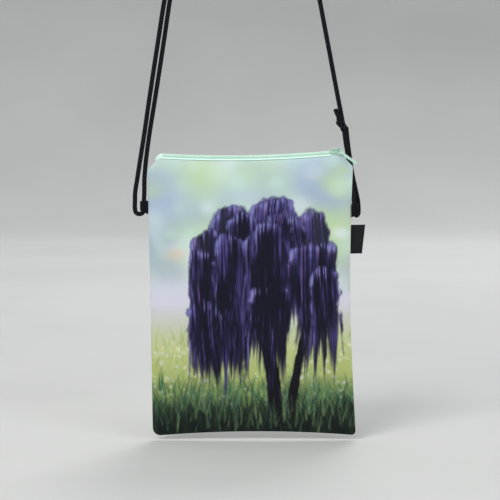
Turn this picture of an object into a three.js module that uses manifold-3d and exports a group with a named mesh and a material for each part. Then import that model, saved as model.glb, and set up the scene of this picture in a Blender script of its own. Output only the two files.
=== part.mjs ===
// A small zipped shoulder pouch of printed cloth. It hangs by its black cord strap
// from two pegs of a short wooden rail.
// Millimetres, +Z up, front towards -Y. The origin is the middle of the rail's back face.

import * as THREE from 'three';
import { mergeVertices } from 'three/addons/utils/BufferGeometryUtils.js';
import Module from 'manifold-3d';

const wasm = await Module();
wasm.setup();

// Driving dimensions
const CLEARANCE = 0.3; // between pieces that touch

const pouch = {
  x: 8.3, // middle of the pouch, from the middle of the rail
  y: -34, // plane of the side seams
  z: -276.3,
  leanDeg: 0.9, // the foot of the pouch leans this far to the right
  halfWidth: 85,
  waistLeft: 0.2, // how far each side draws in at half height
  waistRight: 3.2,
  bottomZ: -119.8,
  bottomBow: 3.6, // the bottom seam arches up between its corners
  bottomDrop: 2, // and its right end lies this much lower than its left
  cornerLeft: 7, // radius of the bottom corners
  cornerRight: 3.5,
  cutFootZ: 103.5, // the cut-off top corners end here
  edgeDepth: 0.9, // half thickness at the seams
  bulge: 6.4, // half thickness in the middle
};

const zip = {
  midX: -4, // lowest point of the zip line
  midZ: 113.4,
  sag: 2.3, // how far the zip line dips below its ends
  sagSpan: 132,
  tiltDeg: 40, // the zip leans towards the front
  right: 77.5, // the tape runs on to here
  bendX: 73.5, // the top edge turns down here at both ends, and the left end of the zip with it
  bendRadius: 5,
  bendDeg: 54,
  cut: 12.8, // length of the cut-off corner after the bend
  tail: 2, // of that, the length under the zip's left end
  tapeHalf: 3.1,
  tapeDepth: 0.7,
  coilHalf: 1.9,
  coilDepth: 1.0,
  coilLeft: -72,
  coilRight: 76.4,
};

const slider = {
  x: 70.8, // along the zip line, closed
  tail: -3.8,
  shoulder: 1.0, // widest here
  neck: 2.3, // the plate narrows to its nose here
  nose: 3.7,
  halfWidth: 2.6,
  wide: 0.3, // the shoulders are this much wider on each side
  noseHalfWidth: 0.8,
  plate: 0.5,
  bridgeFrom: -1.9, // ends of the bridge's opening
  bridgeTo: 3.15,
  bridgeWall: 0.5,
  bridgeWidth: 0.9,
  bridgeHeight: 1.7,
  hingeX: 1.6, // the pull's hinge line, along the slider
  hingeHeight: 1.05, // and over its plate
};

const pull = {
  length: 21.6,
  halfWidth: 2.6,
  tongueHalfWidth: 1.15,
  depth: 0.8,
  eyeHalfWidth: 2.1,
  eyeLength: 3.0,
  bar: 0.4, // half length of the bar under the bridge
  yawDeg: 44, // it points this far forward of the zip's line
  dropDeg: 13, // and this far down over the edge of the front tape
};

const label = {
  topZ: 56,
  height: 24,
  reachTop: 11.9,
  reachBottom: 9.7,
  depth: 1.0,
};

const rail = { length: 156, height: 44, depth: 16, chamfer: 2 };
const peg = { x: 48, waist: 7.5, foot: 9.5, knob: 11, length: 46 };
const screw = { x: 18, radius: 4, height: 2 };

const cordRadius = 1.9;
const cordSides = 8;
const tab = { wall: 1.2, wallAtSeam: 0.4, height: 7 };
const tabLeft = { x: -81.5, topZ: -199.1 };
const tabRight = { x: 93.7, topZ: -201.1 };

// The strap's route, in three stretches between its two knots: [x, y, z]
const strapTop = [
  [-59.2, -34, -13.4],
  [-57.7, -34, 1.6],
  [-56.1, -34, 5.7],
  [-52.6, -34, 8.75],
  [-48, -34, 9.9],
  [0, -34, 9.9],
  [48, -34, 9.9],
  [52.6, -34, 8.75],
  [56.1, -34, 5.7],
  [57.7, -34, 1.8],
  [63.9, -33.6, -32],
  [71.6, -32.6, -71.9],
  [79.3, -31, -111.8],
  [82, -30.3, -125.3],
];
const strapLeft = [
  [-62.3, -35, -26.1],
  [-70, -35, -71.9],
  [-77, -35, -116.8],
  [-80.7, -35, -141.7],
  [-83.9, -35, -161.6],
  [-87.1, -35, -181.6],
  [-88.7, -34.6, -191.5],
  [-89, -34.2, -199],
  [-89, -34, -206.3],
  [-88, -34, -208.9],
  [-85.3, -34, -210],
  [-82.6, -34, -208.9],
  [-81.5, -34, -206.3],
  [-81.5, -34, -199],
  [-81.2, -33.8, -191.5],
  [-81.1, -33.4, -181.6],
  [-80.4, -33, -171.6],
  [-79.3, -33, -161.6],
  [-76.5, -33, -141.7],
  [-72.4, -33, -116.8],
  [-65.3, -33, -71.9],
  [-58.4, -33, -26.1],
];
const strapRight = [
  [86.6, -28.4, -137.9],
  [88.2, -26.6, -151.7],
  [89.6, -26.2, -161.6],
  [91.9, -26.3, -176.6],
  [94.8, -27, -190],
  [96.8, -28, -200],
  [97.2, -28.2, -208.3],
  [96.8, -29, -210.4],
  [95.4, -31.1, -211.4],
  [94.1, -33.2, -210.4],
  [93.7, -34, -208.3],
  [93.7, -34, -200],
  [92.8, -31.8, -191.5],
  [91.6, -30, -184],
  [90, -29.4, -173.3],
  [88.2, -29.6, -161.6],
  [86.4, -30.6, -151.7],
  [84.4, -32, -137.9],
];
const knotLeft = { x: -60.1, y: -34, z: -19.7, turnDeg: -9 };
const knotRight = { x: 83.2, y: -30.3, z: -131.6, turnDeg: 14 };
const knot = { ring: 3.1, pitch: 2.6, tiltDeg: 16, core: 3.2, tail: 8 };

const colours = {
  cord: 0x16171b,
  mint: 0xb9ead2,
  mintTape: 0xd2f2e4,
  print: 0xaebccb,
  backCloth: 0xc3d3da,
  label: 0x17171a,
  beech: 0xc69c6d,
  steel: 0xb8babd,
};

const radians = THREE.MathUtils.degToRad;

function material(colour, roughness, metalness = 0) {
  return new THREE.MeshStandardMaterial({ color: colour, roughness, metalness });
}

function node(name, geometry, surface) {
  const mesh = new THREE.Mesh(geometry, surface);
  mesh.name = name;
  return mesh;
}

// Solid geometry from a mesh whose vertices are shared
function solidOf(geometry) {
  const bare = geometry.index ? geometry.toNonIndexed() : geometry.clone();
  bare.deleteAttribute('normal');
  bare.deleteAttribute('uv');
  const merged = mergeVertices(bare, 1e-4);
  const mesh = new wasm.Mesh({
    numProp: 3,
    vertProperties: Float32Array.from(merged.attributes.position.array),
    triVerts: Uint32Array.from(merged.index.array),
  });
  mesh.merge();
  return new wasm.Manifold(mesh);
}

function geometryOf(solid) {
  const mesh = solid.getMesh();
  const geometry = new THREE.BufferGeometry();
  geometry.setAttribute('position', new THREE.BufferAttribute(mesh.vertProperties, 3));
  geometry.setIndex(new THREE.BufferAttribute(mesh.triVerts, 1));
  geometry.computeVertexNormals();
  return geometry;
}

function joined(geometries) {
  const solids = geometries.map(solidOf);
  return solids.reduce((whole, next) => whole.add(next));
}

// A box from its lowest to its highest corner
function boxBetween(low, high) {
  const size = high.map((value, axis) => value - low[axis]);
  const middle = high.map((value, axis) => (value + low[axis]) / 2);
  return new THREE.BoxGeometry(...size).translate(...middle);
}

// The top edge: a shallow arc that turns down into a cut-off corner at each end.
// Returns the point at a distance along it and the slope there, in the pouch's own plane.
const zipRadius = zip.sagSpan ** 2 / (8 * zip.sag) + zip.sag / 2;

function zipArc(distance) {
  const slope = distance / zipRadius;
  return {
    x: zip.midX + zipRadius * Math.sin(slope),
    z: zip.midZ + zipRadius * (1 - Math.cos(slope)),
    slope,
  };
}

function topEdge(distance) {
  const side = Math.sign(distance) || 1;
  const bendAt = zip.bendX - side * zip.midX;
  const past = Math.abs(distance) - bendAt;
  if (past <= 0) return zipArc(distance);
  const start = zipArc(side * bendAt);
  const bend = radians(zip.bendDeg);
  const turned = Math.min(past / zip.bendRadius, bend);
  const straight = Math.max(past - zip.bendRadius * bend, 0);
  const slope = start.slope - side * turned;
  const along = zip.bendRadius * Math.sin(turned) + straight * Math.cos(slope);
  const fall = zip.bendRadius * (1 - Math.cos(turned)) + straight * Math.abs(Math.sin(slope));
  return { x: start.x + side * along, z: start.z - fall, slope };
}

// The zip follows the top edge, but its right end runs straight on past the corner
function zipLine(distance) {
  return distance < 0 ? topEdge(distance) : zipArc(distance);
}

// A strip along the zip line, from one distance to another, between two widths across
// the zip and two heights above its tape.
function zipStrip(distances, across, heights) {
  const [from, to] = distances;
  const steps = Math.ceil((to - from) / 4);
  const low = [from, across[0], heights[0]];
  const high = [to, across[1], heights[1]];
  const size = high.map((value, axis) => value - low[axis]);
  const middle = high.map((value, axis) => (value + low[axis]) / 2);
  const strip = new THREE.BoxGeometry(...size, steps, 1, 1).translate(...middle);
  const tilt = radians(zip.tiltDeg);
  const points = strip.attributes.position;
  for (let i = 0; i < points.count; i += 1) {
    const at = zipLine(points.getX(i));
    const side = points.getY(i);
    const height = points.getZ(i);
    const rise = side * Math.sin(tilt) + height * Math.cos(tilt);
    const back = side * Math.cos(tilt) - height * Math.sin(tilt);
    points.setXYZ(i, at.x - rise * Math.sin(at.slope), back, at.z + rise * Math.cos(at.slope));
  }
  return strip;
}

// The pouch's outline, in its own plane
function sideX(sign, z) {
  const waist = sign < 0 ? pouch.waistLeft : pouch.waistRight;
  const end = z < 0 ? pouch.bottomZ : pouch.cutFootZ;
  const fromMiddle = Math.min(z / end, 1);
  return sign * (pouch.halfWidth - waist * (1 - fromMiddle ** 2) ** 1.3);
}

function bottomZ(x) {
  const radius = x < 0 ? pouch.cornerLeft : pouch.cornerRight;
  const intoCorner = Math.min(Math.abs(x) - (pouch.halfWidth - radius), radius);
  const across = x / pouch.halfWidth;
  const low = pouch.bottomZ + pouch.bottomBow * (1 - across ** 2) - (pouch.bottomDrop / 2) * across;
  if (intoCorner <= 0) return low;
  return low + radius - Math.sqrt(radius ** 2 - intoCorner ** 2);
}

// How far a panel stands out from the plane of the seams
function panelDepth(s, t) {
  const acrossRise = (1 - Math.abs(s) ** 3) ** 0.7;
  const bottomRise = (1 - (1 - t) ** 7) ** 0.6;
  const nearTop = t ** 9;
  const topDepth = zip.tapeHalf * Math.cos(radians(zip.tiltDeg)) - pouch.edgeDepth;
  const body = (pouch.bulge - pouch.edgeDepth) * bottomRise * (1 - nearTop);
  return pouch.edgeDepth + acrossRise * (body + topDepth * nearTop);
}

// The point of a panel at s, from side to side, and t, from foot to top
function panelPoint(s, t, y) {
  const side = Math.sign(s) || 1;
  const cornerLength = zip.bendRadius * radians(zip.bendDeg) + zip.cut;
  const topLength = zip.bendX - side * zip.midX + cornerLength;
  const edge = topEdge(s * topLength);
  const tilt = radians(zip.tiltDeg);
  const below = (zip.tapeDepth + CLEARANCE) / Math.cos(tilt) - y * Math.tan(tilt) * t ** 14;
  const topX = edge.x + below * Math.sin(edge.slope);
  const topZ = edge.z - below * Math.cos(edge.slope);
  const sideAt = sideX(side, pouch.bottomZ + t * (pouch.cutFootZ - pouch.bottomZ));
  const plainX = Math.abs(s) * sideAt;
  const x = plainX + (topX - s * pouch.halfWidth) * t ** 8;
  const low = bottomZ(plainX);
  return [x, y, low + t * (topZ - low)];
}

const columns = [0, 0.16, 0.33, 0.5, 0.66, 0.8, 0.83, 0.86, 0.9, 0.935, 0.965, 0.985, 1];
const rows = [0, 0.012, 0.035, 0.08, 0.16, 0.27, 0.39, 0.51, 0.63, 0.75, 0.85, 0.92, 0.965, 1];

// One panel: a grid of points on its outer face and the same grid on its inner face
function panelGeometry(facing) {
  const across = [...columns.slice(1).reverse().map((s) => -s), ...columns];
  const positions = [];
  for (const outer of [true, false]) {
    for (const t of rows) {
      for (const s of across) {
        const depth = outer ? panelDepth(s, t) : CLEARANCE / 2;
        positions.push(...panelPoint(s, t, facing * depth));
      }
    }
  }
  const width = across.length;
  const height = rows.length;
  const inner = width * height;
  const index = [];
  const quad = (a, b, c, d) => {
    if (facing < 0) index.push(a, b, c, a, c, d);
    else index.push(a, c, b, a, d, c);
  };
  for (let j = 0; j + 1 < height; j += 1) {
    for (let i = 0; i + 1 < width; i += 1) {
      const a = j * width + i;
      quad(a, a + 1, a + 1 + width, a + width);
      quad(inner + a, inner + a + width, inner + a + 1 + width, inner + a + 1);
    }
  }
  for (let i = 0; i + 1 < width; i += 1) {
    const top = (height - 1) * width + i;
    quad(i + 1, i, inner + i, inner + i + 1);
    quad(top, top + 1, inner + top + 1, inner + top);
  }
  for (let j = 0; j + 1 < height; j += 1) {
    const left = j * width;
    const right = left + width - 1;
    quad(left, left + width, inner + left + width, inner + left);
    quad(right + width, right, inner + right, inner + right + width);
  }
  const geometry = new THREE.BufferGeometry();
  geometry.setAttribute('position', new THREE.Float32BufferAttribute(positions, 3));
  geometry.setIndex(index);
  geometry.computeVertexNormals();
  return geometry;
}

// A folded woven label, sewn into the right seam
function labelGeometry() {
  const foot = label.topZ - label.height;
  const seamTop = sideX(1, label.topZ) + CLEARANCE;
  const seamFoot = sideX(1, foot) + CLEARANCE;
  const outline = new THREE.Shape([
    new THREE.Vector2(seamFoot, foot),
    new THREE.Vector2(seamFoot + label.reachBottom, foot),
    new THREE.Vector2(seamTop + label.reachTop, label.topZ),
    new THREE.Vector2(seamTop, label.topZ),
  ]);
  const plate = new THREE.ExtrudeGeometry(outline, { depth: label.depth, bevelEnabled: false });
  return plate.rotateX(Math.PI / 2).translate(0, label.depth / 2, 0);
}

// The slider rides over the coil: a plate with two flanges, and a bridge for the pull
function sliderGeometry() {
  const channel = zip.coilHalf + CLEARANCE;
  const ceiling = CLEARANCE + zip.coilDepth + CLEARANCE;
  const top = ceiling + slider.plate;
  const side = [
    [slider.tail, slider.halfWidth - 0.6],
    [slider.tail + 0.6, slider.halfWidth],
    [slider.shoulder, slider.halfWidth + slider.wide],
    [slider.neck, slider.halfWidth - 0.3],
    [slider.neck, slider.noseHalfWidth],
    [slider.nose, slider.noseHalfWidth - 0.3],
  ];
  const around = [...side, ...side.map(([x, y]) => [x, -y]).reverse()];
  const outline = new THREE.Shape(around.map(([x, y]) => new THREE.Vector2(x, y)).reverse());
  const depth = top - CLEARANCE - 0.1;
  const block = new THREE.ExtrudeGeometry(outline, { depth, bevelEnabled: false });
  block.translate(0, 0, top - depth);
  const way = boxBetween([2 * slider.tail, -channel, -1], [2 * slider.nose, channel, ceiling]);
  const wall = slider.bridgeWall;
  const halfBridge = slider.bridgeWidth / 2;
  const bridgeTop = top + slider.bridgeHeight;
  const bridge = boxBetween(
    [slider.bridgeFrom - wall, -halfBridge, top - 0.3],
    [slider.bridgeTo + wall, halfBridge, bridgeTop + wall],
  );
  const opening = boxBetween([slider.bridgeFrom, -2, top], [slider.bridgeTo, 2, bridgeTop]);
  const solid = joined([block, bridge]).subtract(solidOf(way)).subtract(solidOf(opening));
  return geometryOf(solid);
}

// The pull: a flat tongue with an eye round the bridge. Its hinge line is its local Y axis.
function pullGeometry() {
  const tongue = new THREE.Shape();
  const neck = pull.bar + pull.eyeLength + 0.3;
  const tipX = pull.length - pull.tongueHalfWidth;
  tongue.moveTo(-pull.bar, -pull.halfWidth);
  tongue.lineTo(neck, -pull.halfWidth);
  tongue.lineTo(neck + 1.6, -pull.tongueHalfWidth);
  tongue.absarc(tipX, 0, pull.tongueHalfWidth, -Math.PI / 2, Math.PI / 2, false);
  tongue.lineTo(neck + 1.6, pull.tongueHalfWidth);
  tongue.lineTo(neck, pull.halfWidth);
  tongue.lineTo(-pull.bar, pull.halfWidth);
  tongue.closePath();
  const eye = new THREE.Path();
  eye.moveTo(pull.bar, -pull.eyeHalfWidth);
  eye.lineTo(pull.bar, pull.eyeHalfWidth);
  eye.lineTo(pull.bar + pull.eyeLength, pull.eyeHalfWidth);
  eye.lineTo(pull.bar + pull.eyeLength, -pull.eyeHalfWidth);
  eye.closePath();
  tongue.holes.push(eye);
  const options = { depth: pull.depth, bevelEnabled: false, curveSegments: 8 };
  return new THREE.ExtrudeGeometry(tongue, options).translate(0, 0, -pull.depth / 2);
}

// A loop of ribbon round the cord, sewn into the seam on one side
function tabGeometry(facing) {
  const inner = cordRadius + CLEARANCE;
  const outer = inner + tab.wall;
  const seam = inner + tab.wallAtSeam;
  const outline = new THREE.Shape();
  outline.absarc(0, 0, outer, Math.PI / 3, (5 * Math.PI) / 3, false);
  outline.lineTo(seam, -outer * Math.sin(Math.PI / 3));
  outline.lineTo(seam, outer * Math.sin(Math.PI / 3));
  outline.closePath();
  const hole = new THREE.Path();
  hole.absarc(0, 0, inner, 0, 2 * Math.PI, true);
  outline.holes.push(hole);
  const options = { depth: tab.height, bevelEnabled: false, curveSegments: 10 };
  const loop = new THREE.ExtrudeGeometry(outline, options).translate(0, 0, -tab.height);
  return facing < 0 ? loop : loop.rotateZ(Math.PI);
}

// A smooth curve whose steps fall on the route's own points
class Route extends THREE.CatmullRomCurve3 {
  getPointAt(u, target) {
    return this.getPoint(u, target);
  }

  getTangentAt(u, target) {
    return this.getTangent(u, target);
  }
}

function cordGeometry(points) {
  const route = new Route(points.map((point) => new THREE.Vector3(...point)));
  const section = new THREE.Shape();
  for (let i = 0; i < cordSides; i += 1) {
    const angle = (2 * Math.PI * i) / cordSides;
    const x = cordRadius * Math.cos(angle);
    const y = cordRadius * Math.sin(angle);
    if (i === 0) section.moveTo(x, y);
    else section.lineTo(x, y);
  }
  section.closePath();
  const options = { steps: points.length - 1, extrudePath: route, bevelEnabled: false };
  return new THREE.ExtrudeGeometry(section, options);
}

// A tight knot: three turns of the cord round a core, and its cut tail
function knotGeometry() {
  const pieces = [new THREE.SphereGeometry(knot.core, 12, 8).scale(1, 1, 1.7)];
  for (const turn of [-1, 0, 1]) {
    const ring = new THREE.TorusGeometry(knot.ring, cordRadius, 8, 16);
    ring.rotateX(radians(knot.tiltDeg * (turn || 0.5)));
    ring.rotateY(radians(knot.tiltDeg));
    pieces.push(ring.translate(0, 0, turn * knot.pitch));
  }
  const tail = new THREE.CylinderGeometry(cordRadius, cordRadius, knot.tail, 8);
  tail.rotateX(Math.PI / 2).translate(0, 0, knot.tail / 2);
  tail.rotateY(radians(-3)).translate(-3.4, -2, 3);
  pieces.push(tail);
  return geometryOf(joined(pieces));
}

function placeKnot(name, at, surface) {
  const mesh = node(name, knotGeometry(), surface);
  mesh.position.set(at.x, at.y, at.z);
  mesh.rotation.y = radians(-at.turnDeg);
  return mesh;
}

// A turned peg along -Y: a broad foot, a waist for the strap and a round knob
function pegGeometry() {
  const end = peg.length;
  const profile = [
    [0, 0],
    [peg.foot, 0],
    [peg.foot, 2],
    [peg.waist, 7],
    [peg.waist, 28],
    [peg.knob - 1.5, 33],
    [peg.knob, 36.5],
    [peg.knob, 39.5],
    [peg.knob - 2.5, 43.5],
    [peg.knob - 6.5, end - 0.5],
    [0, end],
  ];
  const outline = profile.map(([radius, along]) => new THREE.Vector2(radius, along));
  return new THREE.LatheGeometry(outline, 24).rotateX(Math.PI);
}

function railGeometry() {
  const halfLength = rail.length / 2 - rail.chamfer;
  const halfHeight = rail.height / 2 - rail.chamfer;
  const outline = new THREE.Shape([
    new THREE.Vector2(-halfLength, -halfHeight),
    new THREE.Vector2(halfLength, -halfHeight),
    new THREE.Vector2(halfLength, halfHeight),
    new THREE.Vector2(-halfLength, halfHeight),
  ]);
  const board = new THREE.ExtrudeGeometry(outline, {
    depth: rail.depth - rail.chamfer,
    bevelEnabled: true,
    bevelSegments: 1,
    bevelSize: rail.chamfer,
    bevelThickness: rail.chamfer,
  });
  const solid = solidOf(board.rotateX(Math.PI / 2));
  const wallSide = boxBetween([-rail.length, 0, -rail.height], [rail.length, 9, rail.height]);
  return geometryOf(solid.subtract(solidOf(wallSide)));
}

function screwGeometry() {
  const profile = [
    [0, 0],
    [screw.radius, 0],
    [screw.radius * 0.93, screw.height * 0.45],
    [screw.radius * 0.6, screw.height * 0.85],
    [0, screw.height],
  ];
  const outline = profile.map(([radius, along]) => new THREE.Vector2(radius, along));
  return new THREE.LatheGeometry(outline, 16).rotateX(Math.PI);
}

function buildHanger() {
  const group = new THREE.Group();
  group.add(node('peg_rail', railGeometry(), material(colours.beech, 0.55)));
  const face = -rail.depth - CLEARANCE;
  for (const [side, sign] of [['left', -1], ['right', 1]]) {
    const turned = node(`peg_${side}`, pegGeometry(), material(colours.beech, 0.5));
    turned.position.set(sign * peg.x, face, 0);
    const head = node(`screw_${side}`, screwGeometry(), material(colours.steel, 0.35, 1));
    head.position.set(sign * screw.x, face, 0);
    group.add(turned, head);
  }
  return group;
}

function buildStrap() {
  const group = new THREE.Group();
  const black = () => material(colours.cord, 0.85);
  group.add(node('strap_top', cordGeometry(strapTop), black()));
  group.add(node('strap_left', cordGeometry(strapLeft), black()));
  group.add(node('strap_right', cordGeometry(strapRight), black()));
  group.add(placeKnot('knot_left', knotLeft, black()));
  group.add(placeKnot('knot_right', knotRight, black()));
  for (const [name, at, facing] of [['tab_left', tabLeft, -1], ['tab_right', tabRight, 1]]) {
    const loop = node(name, tabGeometry(facing), black());
    loop.position.set(at.x, pouch.y, at.topZ);
    group.add(loop);
  }
  return group;
}

function buildZip() {
  const group = new THREE.Group();
  const tape = () => material(colours.mintTape, 0.8);
  const tail = zip.bendRadius * radians(zip.bendDeg) + zip.tail;
  const ends = [-zip.bendX - zip.midX - tail, zip.right - zip.midX];
  const split = CLEARANCE / 2;
  const front = zipStrip(ends, [-zip.tapeHalf, -split], [-zip.tapeDepth, 0]);
  const back = zipStrip(ends, [split, zip.tapeHalf], [-zip.tapeDepth, 0]);
  group.add(node('zip_tape_front', front, tape()));
  group.add(node('zip_tape_back', back, tape()));
  const coilEnds = [zip.coilLeft - zip.midX, zip.coilRight - zip.midX];
  const heights = [CLEARANCE, CLEARANCE + zip.coilDepth];
  const coil = zipStrip(coilEnds, [-zip.coilHalf, zip.coilHalf], heights);
  group.add(node('zip_coil', coil, material(colours.mint, 0.45)));
  return group;
}

// The slider and, hinged on its bridge, the pull
function buildSlider() {
  const group = new THREE.Group();
  const at = zipLine(slider.x - zip.midX);
  group.position.set(at.x, 0, at.z);
  group.rotation.set(radians(zip.tiltDeg), -at.slope, 0, 'YXZ');
  const plateTop = 2 * CLEARANCE + zip.coilDepth + slider.plate;
  const tongue = node('zip_pull', pullGeometry(), material(colours.mint, 0.35));
  tongue.position.set(slider.hingeX, 0, plateTop + slider.hingeHeight);
  tongue.rotation.set(0, radians(pull.dropDeg), -radians(pull.yawDeg), 'ZYX');
  group.add(node('zip_slider', sliderGeometry(), material(colours.mint, 0.35)), tongue);
  return group;
}

function buildPouch() {
  const group = new THREE.Group();
  group.add(node('front_panel', panelGeometry(-1), material(colours.print, 0.8)));
  group.add(node('back_panel', panelGeometry(1), material(colours.backCloth, 0.8)));
  group.add(node('side_label', labelGeometry(), material(colours.label, 0.8)));
  group.add(buildZip(), buildSlider());
  group.position.set(pouch.x, pouch.y, pouch.z);
  group.rotation.y = -radians(pouch.leanDeg);
  return group;
}

const part = new THREE.Group();
part.add(buildHanger(), buildStrap(), buildPouch());

export default part;
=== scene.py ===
# A small zipped shoulder pouch that hangs by its cord strap from a wooden peg rail.
# Metres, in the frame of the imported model: +Z up, front towards -Y, wall plane at Y = 0.
# Sizes are held in millimetres, as the model's source has them, and scaled on use.

import math
from functools import cache

import bpy
import numpy as np
from mathutils import Matrix, Vector


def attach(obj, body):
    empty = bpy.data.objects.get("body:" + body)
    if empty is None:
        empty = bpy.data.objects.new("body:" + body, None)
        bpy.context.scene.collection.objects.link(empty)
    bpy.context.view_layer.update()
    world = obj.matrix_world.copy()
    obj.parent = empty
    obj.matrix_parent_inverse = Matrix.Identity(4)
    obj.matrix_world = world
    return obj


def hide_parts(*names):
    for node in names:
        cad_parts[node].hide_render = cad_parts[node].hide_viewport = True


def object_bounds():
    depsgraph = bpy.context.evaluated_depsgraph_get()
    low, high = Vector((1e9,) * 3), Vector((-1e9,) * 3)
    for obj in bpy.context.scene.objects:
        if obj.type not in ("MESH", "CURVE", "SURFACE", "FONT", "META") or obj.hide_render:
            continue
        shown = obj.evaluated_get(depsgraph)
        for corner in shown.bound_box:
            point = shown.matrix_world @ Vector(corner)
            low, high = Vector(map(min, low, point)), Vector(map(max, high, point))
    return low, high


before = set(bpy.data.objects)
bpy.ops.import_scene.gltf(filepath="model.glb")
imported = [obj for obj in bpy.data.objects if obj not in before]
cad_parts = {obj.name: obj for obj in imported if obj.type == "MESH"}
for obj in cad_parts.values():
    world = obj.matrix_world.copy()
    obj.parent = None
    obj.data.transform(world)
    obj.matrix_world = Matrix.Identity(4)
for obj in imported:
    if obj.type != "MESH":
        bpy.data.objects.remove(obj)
cad_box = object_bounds()

MM = 0.001
scene = bpy.context.scene
scene.view_settings.view_transform = "Standard"


# Driving sizes, in millimetres. Where a size has two values, -1 is the left side and 1 the right.

# The gap that neighbouring pieces keep
CLEARANCE = 0.3

# The pouch's place, outline and thickness
POUCH_AT = (8.3, -34.0, -276.3)
POUCH_LEAN = math.radians(0.9)
HALF_WIDTH = 85.0
WAIST = {-1: 0.2, 1: 3.2}
WAIST_POWER = 1.3
CORNER = {-1: 7.0, 1: 3.5}
BOTTOM_Z = -119.8
BOTTOM_BOW = 3.6
BOTTOM_DROP = 2.0
CUT_FOOT_Z = 103.5
EDGE_DEPTH = 0.9
BULGE = 6.4

# The zip's arc, its bends down into the cut-off corners, its tapes and its coil
ZIP_MID = (-4.0, 113.4)
ZIP_SAG = 2.3
ZIP_SPAN = 132.0
ZIP_RADIUS = ZIP_SPAN**2 / (8 * ZIP_SAG) + ZIP_SAG / 2
ZIP_TILT = math.radians(40)
ZIP_RIGHT = 77.5
BEND_X = 73.5
BEND_RADIUS = 5.0
BEND = math.radians(54)
CUT_LENGTH = 12.8
TAPE_TAIL = 2.0
TAPE_HALF = 3.1
TAPE_DEPTH = 0.7
COIL_LEFT = -72.0
COIL_RIGHT = 76.4
COIL_HALF = 1.9
COIL_DEPTH = 1.0
COIL_PITCH = 1.2
COIL_WIRE = 0.28
SLIDER_EDGE = 0.28

# The label in the right seam, which stands out further at its top
LABEL_TOP = 56.0
LABEL_HEIGHT = 24.0
LABEL_REACH_TOP = 11.9
LABEL_REACH_FOOT = 9.7
LABEL_CURL = 0.25

# The cord, its knots, and the ribbon loops that hold it
CORD_RADIUS = 1.9
KNOT_TURNS = 1.6
KNOT_REACH = 2.3
KNOT_RISE = 6.0
KNOT_SLANT = 1.38
KNOT_MIDDLE = (-1.6, -4.8)
KNOT_TAIL = [(-2.5, -2.0, 2.6), (-3.1, -2.0, 6.2), (-3.6, -2.0, 10.1)]
TAIL_TAPER = [1.0, 0.93, 0.7]
TAB_HEIGHT = 7.0
TAB_TOP = {-1: -199.1, 1: -201.1}
TAB_X = {-1: -81.5, 1: 93.3}
TAB_SUNK = {-1: 1.2, 1: 1.6}
TAB_LEAN = {-1: math.radians(13), 1: math.radians(27)}
TAB_FLARE = 1.6
RIBBON_THICKNESS = 0.55
RIBBON_ROUND = CORD_RADIUS + 1.15

# The rail, its pegs as (radius, distance from the rail), and its screws
PEG_X = 48.0
RAIL_DEPTH = 16.0
RAIL_EDGE = 0.7
SCREW_EDGE = 0.15
PEG_PROFILE = [(9.3, 0), (9.5, 0.7), (9.4, 1.8), (8.0, 4.6), (7.5, 7.6), (7.5, 14), (7.5, 21)]
PEG_PROFILE += [(7.55, 27.6), (8.6, 31), (10.3, 34.6), (11, 38), (10.4, 41.4), (8.2, 43.9)]
PEG_PROFILE += [(4.6, 45.5), (0.6, 46.0)]

# The strap's route: (x, y, z). Its points are those of the model's source, apart from three of the
# inner strand at the right ribbon loop, which lie up to 0.5 mm nearer the pouch, as does that loop.
STRAP_TOP = [
    (-59.2, -34, -13.4),
    (-57.7, -34, 1.6),
    (-56.1, -34, 5.7),
    (-52.6, -34, 8.75),
    (-48, -34, 9.9),
    (0, -34, 9.9),
    (48, -34, 9.9),
    (52.6, -34, 8.75),
    (56.1, -34, 5.7),
    (57.7, -34, 1.8),
    (63.9, -33.6, -32),
    (71.6, -32.6, -71.9),
    (79.3, -31, -111.8),
    (82, -30.3, -125.3),
]
STRAP_LEFT = [
    (-62.3, -35, -26.1),
    (-70, -35, -71.9),
    (-77, -35, -116.8),
    (-80.7, -35, -141.7),
    (-83.9, -35, -161.6),
    (-87.1, -35, -181.6),
    (-88.7, -34.6, -191.5),
    (-89, -34.2, -199),
    (-89, -34, -206.3),
    (-88, -34, -208.9),
    (-85.3, -34, -210),
    (-82.6, -34, -208.9),
    (-81.5, -34, -206.3),
    (-81.5, -34, -199),
    (-81.2, -33.8, -191.5),
    (-81.1, -33.4, -181.6),
    (-80.4, -33, -171.6),
    (-79.3, -33, -161.6),
    (-76.5, -33, -141.7),
    (-72.4, -33, -116.8),
    (-65.3, -33, -71.9),
    (-58.4, -33, -26.1),
]
STRAP_RIGHT = [
    (86.6, -28.4, -137.9),
    (88.2, -26.6, -151.7),
    (89.6, -26.2, -161.6),
    (91.9, -26.3, -176.6),
    (94.8, -27, -190),
    (96.8, -28, -200),
    (97.2, -28.2, -208.3),
    (96.8, -29, -210.4),
    (95.4, -31.1, -211.4),
    (94.1, -33.2, -210.4),
    (93.3, -34, -208.3),
    (93.2, -34, -200),
    (92.4, -31.8, -191.5),
    (91.6, -30, -184),
    (90, -29.4, -173.3),
    (88.2, -29.6, -161.6),
    (86.4, -30.6, -151.7),
    (84.4, -32, -137.9),
]
KNOTS = {
    "left": {"at": (-60.1, -34, -19.7), "turn": math.radians(-9)},
    "right": {"at": (83.2, -30.3, -131.6), "turn": math.radians(14)},
}


# Camera, at the photograph's viewing angle

VIEW_CENTRE = Vector((6.65, -38.0, -239.7)) * MM
VIEW_WIDTH = 415.5 * MM
VIEW_DISTANCE = 1.6
VIEW_ELEVATION = math.radians(4.5)
SENSOR = 36.0


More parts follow.
